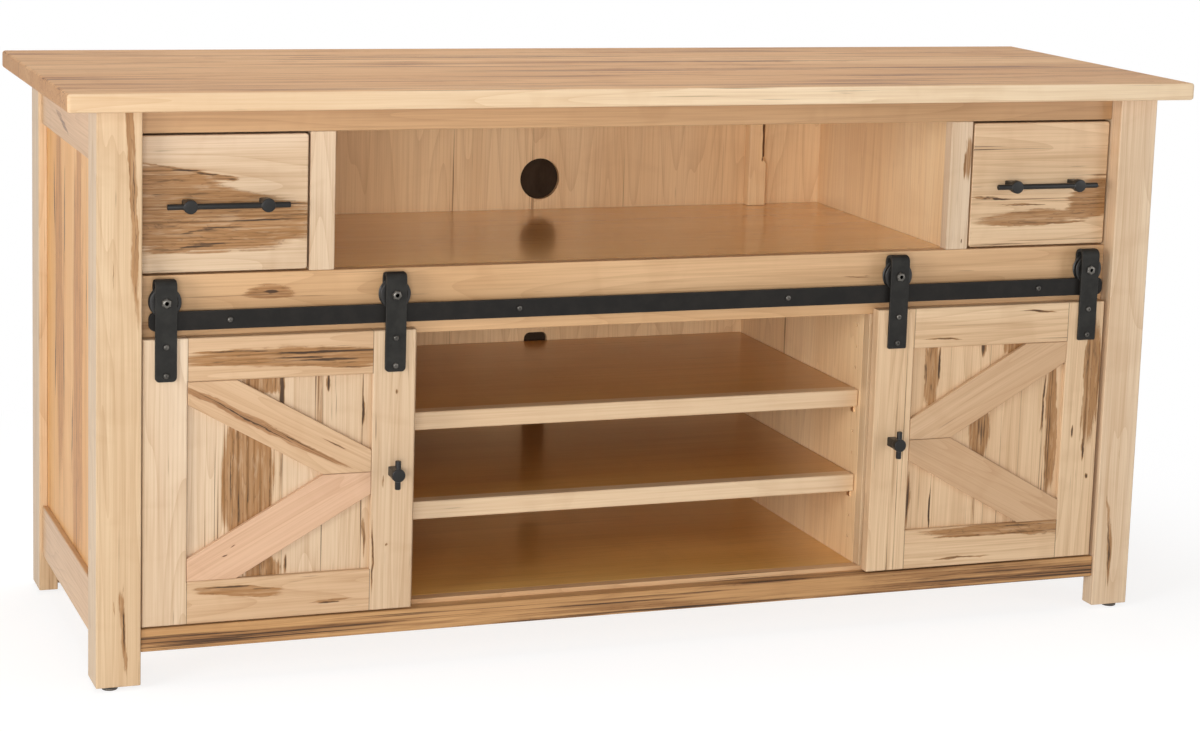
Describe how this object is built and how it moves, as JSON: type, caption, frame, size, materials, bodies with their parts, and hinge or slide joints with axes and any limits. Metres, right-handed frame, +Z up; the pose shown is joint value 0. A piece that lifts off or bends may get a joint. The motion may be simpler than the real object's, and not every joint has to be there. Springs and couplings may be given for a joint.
{
  "type": "tv console",
  "caption": "Wooden media console with panelled ends, inset drawers beside an open bay, and sliding barn doors with chevron braces on a flat steel track over shelf bays.",
  "frame": {"origin": "on the floor, under the middle of the rectangular top", "axes": "+X along the console from its left end to its right end as seen from the front, +Y from the front towards the back, +Z up"},
  "size_m": [1.66, 0.559, 0.8063],
  "materials": {
    "top_wood": "satin",
    "leg_wood": "satin",
    "rail_wood": "satin",
    "panel_wood": "satin",
    "frame_wood": "satin",
    "stile_wood": "satin",
    "plinth_wood": "satin",
    "inner_wood": "semi-gloss",
    "divider_wood": "semi-gloss",
    "back_wood": "satin",
    "shelf_wood": "semi-gloss",
    "door_wood": "satin",
    "brace_wood": "satin",
    "drawer_wood": "satin",
    "box_wood": "satin",
    "black_steel": "satin black",
    "glide_plastic": "matte"
  },
  "bodies": {
    "carcass": {"top": "top_wood", "leg_front_left": "leg_wood", "leg_front_right": "leg_wood", "leg_back_left": "leg_wood", "leg_back_right": "leg_wood", "glide_front_left": "glide_plastic", "glide_front_right": "glide_plastic", "glide_back_left": "glide_plastic", "glide_back_right": "glide_plastic", "side_rail_top_left": "rail_wood", "side_rail_top_right": "rail_wood", "side_rail_bottom_left": "rail_wood", "side_rail_bottom_right": "rail_wood", "side_panel_left": "panel_wood", "side_panel_right": "panel_wood", "apron_rail": "frame_wood", "middle_rail": "frame_wood", "sill_rail": "frame_wood", "end_stile_left": "stile_wood", "end_stile_right": "stile_wood", "drawer_stile_left": "stile_wood", "drawer_stile_right": "stile_wood", "shelf_stile_left": "stile_wood", "shelf_stile_right": "stile_wood", "plinth_rail": "plinth_wood", "middle_deck": "inner_wood", "bottom_deck": "inner_wood", "upper_divider_left": "divider_wood", "upper_divider_right": "divider_wood", "lower_divider_left": "divider_wood", "lower_divider_right": "divider_wood", "back_panel": "back_wood", "back_batten": "stile_wood", "shelf_lower": "shelf_wood", "shelf_upper": "shelf_wood", "track": "black_steel"},
    "door_left": {"door_left_frame": "door_wood", "door_left_panel": "panel_wood", "door_left_brace_upper": "brace_wood", "door_left_brace_lower": "brace_wood", "door_left_knob": "black_steel", "door_left_hanger_outer": "black_steel", "door_left_hanger_inner": "black_steel"},
    "door_right": {"door_right_frame": "door_wood", "door_right_panel": "panel_wood", "door_right_brace_upper": "brace_wood", "door_right_brace_lower": "brace_wood", "door_right_knob": "black_steel", "door_right_hanger_outer": "black_steel", "door_right_hanger_inner": "black_steel"},
    "door_left_roller_outer": {"door_left_wheel_outer": "black_steel"},
    "door_left_roller_inner": {"door_left_wheel_inner": "black_steel"},
    "door_right_roller_outer": {"door_right_wheel_outer": "black_steel"},
    "door_right_roller_inner": {"door_right_wheel_inner": "black_steel"},
    "drawer_left": {"drawer_left_front": "drawer_wood", "drawer_left_box": "box_wood", "drawer_left_pull": "black_steel"},
    "drawer_right": {"drawer_right_front": "drawer_wood", "drawer_right_box": "box_wood", "drawer_right_pull": "black_steel"}
  },
  "joints": [
    {"name": "door_left_slide", "type": "slide", "parent": "carcass", "child": "door_left", "axis": [1, 0, 0], "range_m": [0, 0.345]},
    {"name": "door_right_slide", "type": "slide", "parent": "carcass", "child": "door_right", "axis": [1, 0, 0], "range_m": [-0.345, 0.005]},
    {"name": "door_left_roller_outer_spin", "type": "hinge", "parent": "door_left", "child": "door_left_roller_outer", "pos_m": [-0.695, -0.238, 0.5255], "axis": [0, 1, 0], "range_deg": [0, 1500]},
    {"name": "door_left_roller_inner_spin", "type": "hinge", "parent": "door_left", "child": "door_left_roller_inner", "pos_m": [-0.381, -0.238, 0.5255], "axis": [0, 1, 0], "range_deg": [0, 1500]},
    {"name": "door_right_roller_outer_spin", "type": "hinge", "parent": "door_right", "child": "door_right_roller_outer", "pos_m": [0.69, -0.238, 0.5255], "axis": [0, 1, 0], "range_deg": [-1500, 25]},
    {"name": "door_right_roller_inner_spin", "type": "hinge", "parent": "door_right", "child": "door_right_roller_inner", "pos_m": [0.376, -0.238, 0.5255], "axis": [0, 1, 0], "range_deg": [-1500, 25]},
    {"name": "drawer_left_slide", "type": "slide", "parent": "carcass", "child": "drawer_left", "axis": [0, -1, 0], "range_m": [0, 0.31]},
    {"name": "drawer_right_slide", "type": "slide", "parent": "carcass", "child": "drawer_right", "axis": [0, -1, 0], "range_m": [0, 0.31]}
  ],
  "couplings": [
    {"joint": "door_left_roller_outer_spin", "follows": "door_left_slide", "rad_per_m": 75.758},
    {"joint": "door_left_roller_inner_spin", "follows": "door_left_slide", "rad_per_m": 75.758},
    {"joint": "door_right_roller_outer_spin", "follows": "door_right_slide", "rad_per_m": 75.758},
    {"joint": "door_right_roller_inner_spin", "follows": "door_right_slide", "rad_per_m": 75.758}
  ]
}
